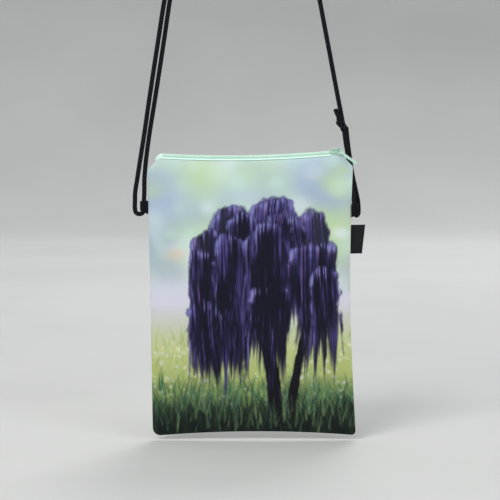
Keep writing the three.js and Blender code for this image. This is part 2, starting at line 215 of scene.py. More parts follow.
def make_camera():
    data = bpy.data.cameras.new("camera")
    data.sensor_width = SENSOR
    data.lens = SENSOR * VIEW_DISTANCE / VIEW_WIDTH
    camera = bpy.data.objects.new("camera", data)
    scene.collection.objects.link(camera)
    back = Vector((0, -math.cos(VIEW_ELEVATION), math.sin(VIEW_ELEVATION)))
    camera.location = VIEW_CENTRE + back * VIEW_DISTANCE
    camera.rotation_euler = (math.pi / 2 - VIEW_ELEVATION, 0, 0)
    scene.camera = camera


# Mesh helpers

CORD_SIDES = 16
COIL_SIDES = 6
PEG_SIDES = 56
BEVEL_SEGMENTS = 3
BEVEL_ANGLE = math.radians(30)


def mesh_object(name, points, faces):
    """A smooth mesh from points in millimetres in the model's frame"""
    mesh = bpy.data.meshes.new(name)
    scaled = [tuple(MM * float(value) for value in point) for point in points]
    mesh.from_pydata(scaled, [], faces)
    mesh.validate()
    mesh.polygons.foreach_set("use_smooth", [True] * len(mesh.polygons))
    mesh.update()
    made = bpy.data.objects.new(name, mesh)
    scene.collection.objects.link(made)
    return made


def distances_along(line):
    """The distance from a line's start to each of its points"""
    steps = np.linalg.norm(np.diff(line, axis=0), axis=1)
    return np.concatenate([[0], np.cumsum(steps)])


def loft(name, rings, along=None):
    """Joins rings of points into a skin, capped at both ends. Its UV is (turn, distance in mm)."""
    rings = np.asarray(rings, float)
    count, size = rings.shape[:2]
    faces = []
    for i in range(count - 1):
        low, high = i * size, (i + 1) * size
        for j in range(size):
            after = (j + 1) % size
            faces.append((low + j, low + after, high + after, high + j))
    skin = len(faces)
    faces.append(tuple(reversed(range(size))))
    faces.append(tuple(range((count - 1) * size, count * size)))
    made = mesh_object(name, rings.reshape(-1, 3), faces)
    if along is None:
        along = distances_along(rings.mean(1))
    uv = made.data.uv_layers.new(name="along")
    for number, face in enumerate(made.data.polygons[:skin]):
        i, j = divmod(number, size)
        corners = [(j, i), (j + 1, i), (j + 1, i + 1), (j, i + 1)]
        for loop, (turn, ring) in zip(face.loop_indices, corners):
            uv.data[loop].uv = (turn / size, along[ring])
    return made


def smooth_line(points, spacing):
    """A centripetal Catmull-Rom curve through the points, sampled about every spacing mm"""
    points = np.asarray(points, float)
    before = 2 * points[0] - points[1]
    after = 2 * points[-1] - points[-2]
    padded = np.concatenate([[before], points, [after]])
    line = []
    for i in range(len(points) - 1):
        p = padded[i : i + 4]
        knots = np.concatenate([[0], np.cumsum(np.linalg.norm(np.diff(p, axis=0), axis=1) ** 0.5)])
        steps = max(2, math.ceil(np.linalg.norm(p[2] - p[1]) / spacing))
        for t in np.linspace(knots[1], knots[2], steps, endpoint=False):
            line.append(catmull_point(p, knots, t))
    line.append(points[-1])
    return np.array(line)


def catmull_point(p, knots, t):
    """A point at t, between the middle two of four points, by three levels of blending"""
    level = list(p)
    for span in (1, 2, 3):
        nearer = []
        for i in range(4 - span):
            low, high = (knots[1], knots[2]) if span == 3 else (knots[i], knots[i + span])
            part = (t - low) / (high - low)
            nearer.append(level[i] * (1 - part) + level[i + 1] * part)
        level = nearer
    return level[0]


def frames_along(line):
    """Directions across a line, carried along it without twist"""
    tangents = np.gradient(line, axis=0)
    tangents /= np.linalg.norm(tangents, axis=1)[:, None]
    off_axis = (0.3, 1.0, 0.2)
    normal = np.cross(tangents[0], off_axis)
    normals = []
    for tangent in tangents:
        normal = normal - tangent * np.dot(normal, tangent)
        normal /= np.linalg.norm(normal)
        normals.append(normal)
    normals = np.array(normals)
    return tangents, normals, np.cross(tangents, normals)


def tube(name, line, radius, sides):
    """A round tube along a line. radius is one number or one for each point."""
    _, normals, sideways = frames_along(line)
    radii = np.broadcast_to(np.asarray(radius, float), (len(line),))
    angles = np.linspace(0, 2 * math.pi, sides, endpoint=False)
    rings = []
    for centre, reach, normal, aside in zip(line, radii, normals, sideways):
        rings.append([centre + reach * (math.cos(a) * normal + math.sin(a) * aside) for a in angles])
    return loft(name, rings, distances_along(line))


def ribbon(name, line, across, half_widths, thickness):
    """A flat strip with rounded edges along a line. across is the unit direction of its width."""
    across = np.broadcast_to(np.asarray(across, float), line.shape)
    tangents = np.gradient(line, axis=0)
    normals = np.cross(tangents, across)
    normals /= np.linalg.norm(normals, axis=1)[:, None]
    half = thickness / 2
    # The section's points, as shares of half the width and half the thickness
    section = [(-1, 0), (-0.96, -0.8), (-0.85, -1), (0.85, -1), (0.96, -0.8)]
    section += [(1, 0), (0.96, 0.8), (0.85, 1), (-0.85, 1), (-0.96, 0.8)]
    rings = [
        [line[i] + w * half_widths[i] * across[i] + h * half * normals[i] for w, h in section]
        for i in range(len(line))
    ]
    return loft(name, rings)


def joined(name, parts):
    """One object from several"""
    with bpy.context.temp_override(
        object=parts[0], active_object=parts[0], selected_editable_objects=parts
    ):
        bpy.ops.object.join()
    parts[0].name = name
    parts[0].data.name = name
    return parts[0]


def add_bevel(made, width):
    bevel = made.modifiers.new("bevel", "BEVEL")
    bevel.width = width * MM
    bevel.segments = BEVEL_SEGMENTS
    bevel.limit_method = "ANGLE"
    bevel.angle_limit = BEVEL_ANGLE
    bevel.harden_normals = True


def rounded_copy(node, name, width):
    """A copy of a CAD node with rounded edges, in the node's place"""
    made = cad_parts[node].copy()
    made.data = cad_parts[node].data.copy()
    made.name = name
    for key in list(made.keys()):
        del made[key]
    made.parent = None
    scene.collection.objects.link(made)
    made.data.materials.clear()
    add_bevel(made, width)
    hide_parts(node)
    return made


# The pouch's own plane: x and z along it, y through it, in millimetres

POUCH_FRAME = Matrix.Translation(POUCH_AT) @ Matrix.Rotation(-POUCH_LEAN, 4, "Y")

# Past each bend of the top edge, where the panels come together and where their edges rise to meet
TOGETHER_FROM = 1.0
TOGETHER_BY = 7.0
RISEN_BY = 14.0
RISE_SHARE = 0.6


def from_pouch(point):
    """A point of the pouch's own plane, in the model's frame"""
    return tuple(POUCH_FRAME @ Vector(point))


def zip_arc(distance):
    """The zip's arc, which rises towards both ends: (x, z, slope)"""
    slope = distance / ZIP_RADIUS
    x = ZIP_MID[0] + ZIP_RADIUS * math.sin(slope)
    z = ZIP_MID[1] + ZIP_RADIUS * (1 - math.cos(slope))
    return x, z, slope


def top_edge(distance):
    """The top edge, which turns down into a cut-off corner at each end: (x, z, slope)"""
    side = -1 if distance < 0 else 1
    bend_at = BEND_X - side * ZIP_MID[0]
    past = abs(distance) - bend_at
    if past <= 0:
        return zip_arc(distance)
    x, z, slope = zip_arc(side * bend_at)
    turned = min(past / BEND_RADIUS, BEND)
    straight = max(past - BEND_RADIUS * BEND, 0)
    slope -= side * turned
    x += side * (BEND_RADIUS * math.sin(turned) + straight * math.cos(slope))
    z -= BEND_RADIUS * (1 - math.cos(turned)) + straight * abs(math.sin(slope))
    return x, z, slope


def on_zip(distance, side, height):
    """A point by the zip: along it, across it towards the back, and above its tape"""
    x, z, slope = top_edge(distance) if distance < 0 else zip_arc(distance)
    rise = side * math.sin(ZIP_TILT) + height * math.cos(ZIP_TILT)
    back = side * math.cos(ZIP_TILT) - height * math.sin(ZIP_TILT)
    return from_pouch((x - rise * math.sin(slope), back, z + rise * math.cos(slope)))


def side_x(sign, z):
    """The side seam at a height, drawn in a little at the waist"""
    end = BOTTOM_Z if z < 0 else CUT_FOOT_Z
    from_middle = min(z / end, 1)
    return sign * (HALF_WIDTH - WAIST[sign] * (1 - from_middle**2) ** WAIST_POWER)


def bottom_z(x):
    """The bottom seam: bowed up in the middle, lower at the right, and rounded at its corners"""
    radius = CORNER[-1 if x < 0 else 1]
    into = min(abs(x) - (HALF_WIDTH - radius), radius)
    bow = BOTTOM_BOW * (1 - (x / HALF_WIDTH) ** 2)
    low = BOTTOM_Z + bow - BOTTOM_DROP / 2 * x / HALF_WIDTH
    return low if into <= 0 else low + radius - math.sqrt(radius**2 - into**2)


def panel_depth(s, t):
    """How far a panel stands off the middle. The powers set how soon it fills out from its edges."""
    across = (1 - abs(s) ** 3) ** 0.7
    foot = (1 - (1 - t) ** 7) ** 0.6
    near_top = t**9
    top_depth = TAPE_HALF * math.cos(ZIP_TILT) - EDGE_DEPTH
    body = (BULGE - EDGE_DEPTH) * foot * (1 - near_top)
    return EDGE_DEPTH + across * (body + top_depth * near_top)


def panel_point(s, t, y):
    """s from side to side, t from foot to top, y through the pouch"""
    side = -1 if s < 0 else 1
    top_length = BEND_X - side * ZIP_MID[0] + BEND_RADIUS * BEND + CUT_LENGTH
    x, z, slope = top_edge(s * top_length)
    past_bend = abs(s) * top_length - (BEND_X - side * ZIP_MID[0])
    apart = 1 - float(ramp(TOGETHER_FROM, TOGETHER_BY, past_bend))
    lower = 1 - RISE_SHARE * float(ramp(0, RISEN_BY, past_bend))
    below = (TAPE_DEPTH + CLEARANCE) / math.cos(ZIP_TILT) * lower
    below -= y * math.tan(ZIP_TILT) * t**14 * apart
    top_x = x + below * math.sin(slope)
    top_z = z - below * math.cos(slope)
    plain_x = abs(s) * side_x(side, BOTTOM_Z + t * (CUT_FOOT_Z - BOTTOM_Z))
    low = bottom_z(plain_x)
    return plain_x + (top_x - s * HALF_WIDTH) * t**8, y, low + t * (top_z - low)


# Smooth noise

NOISE_CELLS = 64
NOISE_LAYERS = 3


def noise(x, z, size, seed):
    """Smooth noise from 0 to 1, with features of about that size in mm"""
    table = np.random.default_rng(seed).random((NOISE_CELLS, NOISE_CELLS))
    u, v = np.asarray(x) / size + 20, np.asarray(z) / size + 20
    i, j = np.floor(u).astype(int), np.floor(v).astype(int)
    a, b = u - i, v - j
    a, b = a * a * (3 - 2 * a), b * b * (3 - 2 * b)

    def at(di, dj):
        return table[(i + di) % NOISE_CELLS, (j + dj) % NOISE_CELLS]

    low = at(0, 0) * (1 - a) + at(1, 0) * a
    high = at(0, 1) * (1 - a) + at(1, 1) * a
    return low * (1 - b) + high * b


def layered_noise(x, z, size, seed):
    """Noise with finer and weaker noise on it"""
    total = sum(noise(x, z, size / 2**k, seed + k) / 2**k for k in range(NOISE_LAYERS))
    return total / sum(1 / 2**k for k in range(NOISE_LAYERS))


def ramp(low, high, value):
    """Rises smoothly from 0 at low to 1 at high"""
    part = np.clip((np.asarray(value) - low) / (high - low), 0, 1)
    return part * part * (3 - 2 * part)


# The strap: one braided cord, knotted on itself at both ends

STRAP_STEP = 1.1
KNOT_STEP = 0.7
KNOT_POINTS = 29


def knot_line(name):
    """The cord's end: round the strap and out as a short tail.
    Its turns slant, so that they cross the front from lower right to upper left."""
    knot = KNOTS[name]
    points = []
    for part in np.linspace(0, 1, KNOT_POINTS):
        angle = (2 * KNOT_TURNS * part - 0.5) * math.pi
        across = KNOT_REACH * math.cos(angle)
        height = KNOT_MIDDLE[1] + KNOT_RISE * (part - 0.5) - KNOT_SLANT * across
        points.append((KNOT_MIDDLE[0] + across, -KNOT_REACH * math.sin(angle), height))
    lean = Matrix.Rotation(-knot["turn"], 4, "Y")
    placed = [lean @ Vector(point) + Vector(knot["at"]) for point in points + KNOT_TAIL]
    return [tuple(point) for point in placed]


def make_knot(name, before, start):
    """A knot that goes on from the last two points of the strand that it ends"""
    joint = smooth_line([before, start] + knot_line(name), KNOT_STEP)
    first = int(np.argmin(np.linalg.norm(joint - np.array(start), axis=1)))
    line = joint[first:]
    radii = np.full(len(line), CORD_RADIUS)
    radii[-len(TAIL_TAPER) :] = CORD_RADIUS * np.array(TAIL_TAPER)
    knot = tube(f"knot_{name}_tied", line, radii, CORD_SIDES)
    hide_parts(f"knot_{name}")
    return knot


def make_strap():
    route = STRAP_RIGHT + [KNOTS["right"]["at"]] + STRAP_TOP[::-1] + [KNOTS["left"]["at"]]
    line = smooth_line(route + STRAP_LEFT, STRAP_STEP)
    strap = tube("strap_cord", line, CORD_RADIUS, CORD_SIDES)
    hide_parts("strap_top", "strap_left", "strap_right")
    knots = [
        make_knot("right", STRAP_RIGHT[1], STRAP_RIGHT[0]),
        make_knot("left", STRAP_LEFT[-2], STRAP_LEFT[-1]),
    ]
    for piece in [strap] + knots:
        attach(piece, "pouch")
        piece.data.materials.append(braid_material())


# Ribbon loops that hold the strap to the side seams


def make_tabs():
    """Each loop is widest at the seam, and the strap pulls its outer end up"""
    for sign, side in ((-1, "left"), (1, "right")):
        x, y = TAB_X[sign], POUCH_AT[1]
        z = TAB_TOP[sign] - TAB_SUNK[sign] - TAB_HEIGHT / 2
        rise = math.tan(TAB_LEAN[sign])
        line = []
        for angle in np.radians(np.linspace(50, 310, 25)):
            out = -RIBBON_ROUND * math.cos(angle)
            line.append((x + sign * out, y - RIBBON_ROUND * math.sin(angle), z + rise * out))
        height = z - POUCH_AT[2]
        seam = from_pouch((side_x(sign, height) + sign * 0.4, 0, height))[0]
        sunken = z + rise * sign * (seam - x)
        at_seam = [(seam, y + sewn * RIBBON_THICKNESS, sunken) for sewn in (-1, 1)]
        line = smooth_line([at_seam[0]] + line + [at_seam[1]], 0.5)
        flare = TAB_FLARE * (1 - ramp(0, 4, sign * (line[:, 0] - seam)))
        half_widths = TAB_HEIGHT / 2 + 0.5 + flare
        loop = ribbon(f"ribbon_loop_{side}", line, (0, 0, 1), half_widths, RIBBON_THICKNESS)
        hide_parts(f"tab_{side}")
        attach(loop, "pouch")
        loop.data.materials.append(ribbon_material())


# A folded woven label in the right seam, left bare


def make_label():
    foot = LABEL_TOP - LABEL_HEIGHT
    rings = []
    for part in np.linspace(0, 1, 13):
        z = foot + LABEL_HEIGHT * part
        seam = side_x(1, z) + CLEARANCE
        reach = LABEL_REACH_FOOT + (LABEL_REACH_TOP - LABEL_REACH_FOOT) * part
        curl = LABEL_CURL * math.sin(math.pi * part)
        ring = []
        for along, depth in label_section(reach):
            bow = curl * (along / reach) ** 2
            ring.append(from_pouch((seam + along, depth - bow, z)))
        rings.append(ring)
    made = loft("woven_label", rings)
    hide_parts("side_label")
    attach(made, "pouch")
    made.data.materials.append(label_material())


def label_section(reach):
    """(distance from the seam, depth) round two layers, which part a little towards their fold"""
    layer = 0.32
    gap = 0.12
    outer = [(0, -layer - 0.02), (reach * 0.5, -layer - gap), (reach - 0.8, -layer - gap - 0.06)]
    fold = [(reach - 0.25, -0.3), (reach, 0), (reach - 0.25, 0.3)]
    back = [(along, -depth) for along, depth in reversed(outer)]
    inner = [(0, 0.03), (reach * 0.6, 0.05), (reach * 0.6, -0.05), (0, -0.03)]
    return outer + fold + back + inner


# The zip: two woven tapes, two rows of nylon turns, a slider and its pull


def tape_section(front):
    """(side, height) round a tape, with the thick woven edge beside the turns"""
    sign = -1 if front else 1
    inner = CLEARANCE / 2
    outer = TAPE_HALF
    top = [(inner, -0.12), (inner + 0.25, 0), (COIL_HALF + 0.2, 0), (COIL_HALF + 0.5, -0.02)]
    top += [(outer - 0.4, -0.1), (outer - 0.15, -0.12)]
    under = [(outer, -0.35), (outer - 0.2, -0.62), (outer - 0.5, -TAPE_DEPTH), (inner, -TAPE_DEPTH)]
    section = [(sign * side, height) for side, height in top + under]
    return section if front else section[::-1]


def tape_wave(distance, front):
    """The slight rise and fall of a tape's outer edge"""
    return 0.1 * math.sin(distance * 0.31 + front) + 0.07 * math.sin(distance * 0.83)


def make_tapes():
    """Each tape narrows at its left end, and is cut aslant at its right end"""
    start = -BEND_X - ZIP_MID[0] - BEND_RADIUS * BEND - TAPE_TAIL
    end = ZIP_RIGHT - ZIP_MID[0]
    for front, side, slant in ((True, "front", 0.56), (False, "back", -1.4)):
        rings = []
        for distance in np.arange(start, end + 0.5, 1.0):
            wave = tape_wave(distance, front)
            past = ramp(end - 4, end, distance)
            width = 0.3 + 0.7 * ramp(start, start + 7, distance)
            ring = []
            for across, height in tape_section(front):
                outer = abs(across) / TAPE_HALF
                height += 0.5 * wave * outer - 0.5 * (1 - width)
                ring.append(on_zip(distance + slant * past * outer, across * width, height))
            rings.append(ring)
        made = loft(f"tape_{side}", rings)
        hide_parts(f"zip_tape_{side}")
        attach(made, "pouch")
        made.data.materials.append(tape_material())


def coil_row(name, sign, start, end):
    """One row of nylon turns. The rows lie half a turn apart and hook into each other."""
    middle = COIL_HALF / 2 - COIL_WIRE - 0.1
    reach = COIL_HALF / 2 + 0.1
    rise = COIL_DEPTH / 2 - COIL_WIRE
    offset = 0.5 if sign > 0 else 0
    line = []
    for step in range(int((end - start) / COIL_PITCH) * 12 + 1):
        turn = step / 12
        angle = 2 * math.pi * turn
        distance = start + COIL_PITCH * (turn + offset)
        across = sign * (middle - reach * math.cos(angle))
        height = CLEARANCE + COIL_DEPTH / 2 + rise * math.sin(angle)
        line.append(on_zip(min(distance, end), across, height))
    return tube(name, np.array(line), COIL_WIRE, COIL_SIDES)


def make_coil():
    start = COIL_LEFT - ZIP_MID[0]
    end = COIL_RIGHT - ZIP_MID[0]
    rows = [coil_row(f"coil_{side}", sign, start, end) for side, sign in (("front", -1), ("back", 1))]
    coil = joined("coil", rows)
    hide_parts("zip_coil")
    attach(coil, "pouch")
    coil.data.materials.append(coil_material())


def make_slider():
    pieces = [("zip_slider", "slider_body", "slider"), ("zip_pull", "pull_tab", "pull")]
    for node, name, body in pieces:
        made = rounded_copy(node, name, SLIDER_EDGE)
        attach(made, body)
        made.data.materials.append(enamel_material())


# The pouch's two panels

FRONT_GRID = (240, 330)
BACK_GRID = (110, 150)
FOLD_SIZE = 46.0
FOLD_HEIGHT = 1.7
SEAM_PUCKER = 0.9
TOP_PUCKER = 0.5


def pucker(x, z, size, seed, from_seam, reach, start):
    """Small gathers that start beside a seam and die away from it"""
    return (noise(x, z, size, seed) - 0.5) * np.exp(-from_seam / reach) * ramp(0, start, from_seam)


def cloth_relief(s, t, x, z, seed):
    """How far the cloth stands off its plain form: soft folds, and puckers along the seams"""
    to_side = (1 - np.abs(s)) * HALF_WIDTH
    to_foot = t * (CUT_FOOT_Z - BOTTOM_Z)
    to_top = (1 - t) * (CUT_FOOT_Z - BOTTOM_Z)
    inside = ramp(0, 16, to_side) * ramp(0, 16, to_foot) * ramp(0, 12, to_top)
    relief = FOLD_HEIGHT * (layered_noise(x, z * 0.7, FOLD_SIZE, seed) - 0.5) * inside
    relief += SEAM_PUCKER * pucker(x / 5, z, 5.5, seed + 9, to_side, 6, 1.5)
    relief += SEAM_PUCKER * pucker(x, z / 5, 6.5, seed + 10, to_foot, 7, 1.5)
    return relief + TOP_PUCKER * pucker(x, z / 5, 8.0, seed + 11, to_top, 6, 2)


def rim_of(columns, rows):
    """The outer points of a grid, in order round it: (column, row)"""
    rim = [(i, 0) for i in range(columns)]
    rim += [(columns - 1, j) for j in range(1, rows)]
    rim += [(i, rows - 1) for i in range(columns - 2, -1, -1)]
    return rim + [(0, j) for j in range(rows - 2, 0, -1)]


def panel_faces(columns, rows, rim):
    """The outer face's grid, a wall inwards from its rim, and one flat inner face"""
    inner = columns * rows
    faces = []
    for j in range(rows - 1):
        for i in range(columns - 1):
            a = j * columns + i
            faces.append((a, a + 1, a + 1 + columns, a + columns))
    for k, (i, j) in enumerate(rim):
        following = (k + 1) % len(rim)
        next_i, next_j = rim[following]
        a, b = j * columns + i, next_j * columns + next_i
        faces.append((b, a, inner + k, inner + following))
    faces.append(tuple(range(inner + len(rim) - 1, inner - 1, -1)))
    return faces


def panel_mesh(name, facing, grid, seed):
    """A panel whose columns lie closer together towards the side seams"""
    columns, rows = grid
    even = np.linspace(-1, 1, columns)
    s = np.sign(even) * (1 - (1 - np.abs(even)) ** 1.25)
    t = np.linspace(0, 1, rows)
    flat = np.array([[panel_point(a, b, 0) for a in s] for b in t])
    grid_s, grid_t = np.meshgrid(s, t)
    relief = cloth_relief(grid_s, grid_t, flat[..., 0], flat[..., 2], seed)
    points = []
    for j in range(rows):
        for i in range(columns):
            depth = max(panel_depth(s[i], t[j]) + relief[j, i], CLEARANCE / 2 + 0.1)
            points.append(from_pouch(panel_point(s[i], t[j], facing * depth)))
    rim = rim_of(columns, rows)
    points += [from_pouch(panel_point(s[i], t[j], facing * CLEARANCE / 2)) for i, j in rim]
    faces = panel_faces(columns, rows, rim)
    if facing > 0:
        faces = [tuple(reversed(face)) for face in faces]
    return mesh_object(name, points, faces)


def make_panel(side, facing, grid, seed, paint, material):
    panel = panel_mesh(f"printed_{side}", facing, grid, seed)
    to_pouch = POUCH_FRAME.inverted()
    places = np.array([to_pouch @ (vertex.co / MM) for vertex in panel.data.vertices])
    tint = panel.data.color_attributes.new("print", "FLOAT_COLOR", "POINT")
    colours = np.ones((len(places), 4))
    colours[:, :3] = linear(paint(places[:, 0], places[:, 2]))
    tint.data.foreach_set("color", colours.ravel())
    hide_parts(f"{side}_panel")
    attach(panel, "pouch")
    panel.data.materials.append(material)


def linear(colour):
    """From screen values, 0 to 255, to linear light"""
    value = np.clip(np.asarray(colour, float) / 255, 0, 1)
    return np.where(value <= 0.04045, value / 12.92, ((value + 0.055) / 1.055) ** 2.4)


# The print: a weeping tree of dark violet in a misty meadow, painted point by point.
# Colours are screen values, and places are millimetres in the pouch's plane.

# The haze's colour at each height
HAZE = [
    (-118, (16, 25, 24)),
    (-104, (26, 38, 32)),
    (-94, (54, 72, 50)),
    (-82, (108, 126, 80)),
    (-68, (164, 178, 106)),
    (-46, (190, 198, 138)),
    (-26, (196, 202, 184)),
    (-4, (210, 210, 226)),
    (8, (206, 210, 222)),
    (28, (190, 207, 190)),
    (52, (186, 204, 190)),
    (78, (180, 200, 198)),
    (98, (192, 216, 222)),
    (116, (202, 226, 228)),
]
HAZE_STRENGTH = 0.95
LAVENDER = (150, 162, 214)
MINT = (196, 224, 212)
FRESH_GREEN = (186, 212, 158)
PALE_MIST = (224, 232, 240)
WARM_SPOT = (226, 186, 150)
GREY_BLUE = (168, 178, 202)
GREY_GREEN = (178, 196, 176)
MEADOW = [(176, 192, 124), (142, 164, 92), (198, 202, 152), (120, 150, 88), (158, 186, 140)]
SEED_HEADS = [(222, 222, 230), (206, 208, 232), (226, 226, 196)]
THICKET = [(70, 108, 66), (48, 84, 58), (110, 140, 76), (34, 62, 46), (96, 138, 112)]
THICKET += [(150, 168, 96)]
SHADE = [(16, 26, 26), (10, 18, 22), (34, 60, 42), (20, 38, 34), (80, 102, 54)]
THIN_BLADES = [(156, 178, 118), (120, 150, 112), (92, 126, 96)]
FOOT_SHADE = (6, 14, 14)
BARK = (8, 8, 18)
BARK_LIGHT = (54, 48, 94)
LEAF_DARK = (8, 8, 28)
LEAF_MIDDLE = (34, 31, 76)
LEAF_LIGHT = (94, 84, 150)
LEAF_ROSE = (120, 88, 132)
LEAF_PALE = (142, 150, 206)


def blend(base, colour, share):
    """The base with that share of a colour laid over it"""
    share = np.asarray(share)[:, None]
    return base * (1 - share) + np.asarray(colour, float) * share


def soft_discs(base, x, z, count, seed, sizes, heights, colours, strength):
    """Round patches of light out of focus"""
    rng = np.random.default_rng(seed)
    for _ in range(count):
        at_x, at_z = rng.uniform(-90, 90), rng.uniform(*heights)
        size = rng.uniform(*sizes)
        away = np.hypot(x - at_x, (z - at_z) * rng.uniform(0.9, 1.5)) / size
        share = strength * rng.uniform(0.4, 1.0) * np.exp(-(away**3))
        base = blend(base, colours[rng.integers(len(colours))], share)
    return base


def paint_haze(x, z):
    levels = [level for level, _ in HAZE]
    wavy = z + 6 * (layered_noise(x, z, 40, 3) - 0.5)
    base = np.stack([np.interp(wavy, levels, [colour[k] for _, colour in HAZE]) for k in range(3)], 1)
    far_trees = [LAVENDER, FRESH_GREEN, FRESH_GREEN, MINT]
    glints = [FRESH_GREEN, PALE_MIST, MINT]
    far_grass = [GREY_BLUE, GREY_GREEN]
    lavender_patch = np.exp(-(np.hypot((x + 82) / 26, (z - 66) / 42) ** 3))
    warm_patch = np.exp(-((np.hypot(x + 62, (z - 34) * 1.6) / 8) ** 2))
    base = soft_discs(base, x, z, 34, 11, (14, 34), (34, 116), far_trees, 0.75)
    base = blend(base, LAVENDER, 0.6 * lavender_patch)
    base = soft_discs(base, x, z, 60, 12, (5, 13), (26, 112), glints, 0.5)
    base = soft_discs(base, x, z, 14, 13, (7, 16), (4, 30), far_grass, 0.55)
    base = blend(base, WARM_SPOT, 0.45 * warm_patch)
    return HAZE_STRENGTH * base


def blades(count, seed, feet, heights, palette):
    """Curved blades of grass: (foot x, foot z, height, bend, width, colour)"""
    rng = np.random.default_rng(seed)
    made = []
    for _ in range(count):
        foot = rng.uniform(*feet)
        height, width = rng.uniform(*heights), rng.uniform(0.6, 1.2)
        colour = palette[rng.integers(len(palette))]
        made.append((rng.uniform(-88, 88), foot, height, rng.normal(0, 5.0), width, colour))
    return sorted(made, key=lambda blade: -blade[1])


def paint_blades(base, x, z, made, strength):
    """Lays each blade over the base, faint at its foot and thinner towards its tip"""
    for foot_x, foot_z, height, bend, width, colour in made:
        part = (z - foot_z) / height
        centre = foot_x + bend * part**2
        near = (part > 0) & (part < 1) & (np.abs(x - centre) < 2.5 * width)
        where = np.nonzero(near)[0]
        taper = width * (1.15 - part[where])
        fade = ramp(0, 0.15, part[where]) * (1 - 0.6 * part[where])
        share = strength * fade * np.exp(-(((x[where] - centre[where]) / taper) ** 2))
        base[where] = blend(base[where], colour, share)
    return base


def paint_meadow(base, x, z):
    far = blades(420, 61, feet=(-76, -34), heights=(7, 15), palette=MEADOW)
    middle = blades(480, 62, feet=(-108, -80), heights=(9, 22), palette=THICKET)
    near = blades(420, 63, feet=(-124, -100), heights=(8, 22), palette=SHADE)
    base = paint_blades(base, x, z, far, 0.45)
    base = soft_discs(base, x, z, 260, 66, (0.8, 2.0), (-94, -38), SEED_HEADS, 0.55)
    base = paint_blades(base, x, z, middle, 0.75)
    return paint_blades(base, x, z, near, 0.85)


# The tree's trunks: points (x, z, half width)
TRUNKS = [
    [(20, -124, 9.0), (19, -100, 6.6), (16, -66, 5.6), (10, -30, 5.2), (2, 4, 4.4), (-8, 34, 3.0)],
    [(10, -30, 4.6), (22, 0, 4.0), (34, 28, 2.6)],
    [(28, -124, 6.0), (31, -96, 4.2), (38, -56, 3.4), (47, -20, 2.6)],
]
CROWN_AT = (10, 14)
CROWN_REACH = (66, 60)
CURTAINS = 38
CURTAINS_BEHIND = 12


def leaf_curtains(count, seed):
    """The crown's curtains of leaves, from the farthest.
    Each is (x, top z, half width, dome height, length, tone)."""
    rng = np.random.default_rng(seed)
    made = []
    for number in range(count):
        nearness = number / (count - 1)
        angle = rng.uniform(-0.15, 1.15) * math.pi
        out = 0.35 + 0.65 * rng.random() ** 0.5 if nearness < 0.6 else rng.random() ** 0.7
        x = CROWN_AT[0] + CROWN_REACH[0] * out * math.cos(angle)
        top = CROWN_AT[1] + CROWN_REACH[1] * out * math.sin(angle) - 16 * nearness
        half_width = rng.uniform(10, 21)
        length = rng.uniform(64, 104) + 8 * nearness
        dome = half_width * rng.uniform(0.5, 0.9)
        made.append((x, top, half_width, dome, length, rng.random() * (1 - 0.6 * nearness)))
    return made


def inside_trunk(x, z, trunk):
    """How far inside a tapering trunk each point is, below zero outside it"""
    depths = []
    for (ax, az, aw), (bx, bz, bw) in zip(trunk, trunk[1:]):
        dx, dz = bx - ax, bz - az
        part = np.clip(((x - ax) * dx + (z - az) * dz) / (dx * dx + dz * dz), 0, 1)
        away = np.hypot(x - ax - part * dx, z - az - part * dz)
        depths.append(aw + (bw - aw) * part - away)
    return np.max(depths, axis=0)


def paint_trunks(base, x, z):
    for trunk in TRUNKS:
        inside = inside_trunk(x, z, trunk)
        rough = 1.2 * (noise(x, z / 6, 1.6, 77) - 0.5)
        base = blend(base, BARK, ramp(-0.5, 0.6, inside + rough))
        rim = ramp(0.4, 1.6, inside) * (1 - ramp(1.6, 3.4, inside))
        lit = rim * ramp(0.5, 0.8, noise(x, z / 7, 2.0, 78))
        base = blend(base, BARK_LIGHT, 0.5 * lit)
    return base


def curtain_cover(x, z, fall, across, curtain, seed):
    """How much of each point a curtain covers, and how high its domed top is there"""
    _, top, half_width, dome, _, _ = curtain
    strand = across * half_width
    long = noise(strand, 0 * z, 2.6, seed) + 0.6 * noise(strand, 0 * z, 0.9, seed + 1)
    ends = 0.34 + 0.42 * long - 0.22 * across**2
    below = 1 - ramp(ends - 0.2, ends + 0.06, fall)
    edge = 1 - np.abs(across) + 0.5 * (layered_noise(x, z / 2, 5, seed + 3) - 0.6)
    roof = top + dome * (1 - np.clip(np.abs(across), 0, 1) ** 2.6)
    roof -= 9 * (layered_noise(x, z, 7, seed + 2) - 0.4)
    return ramp(-2.5, 2.5, roof - z) * ramp(0, 0.22, edge) * below, roof


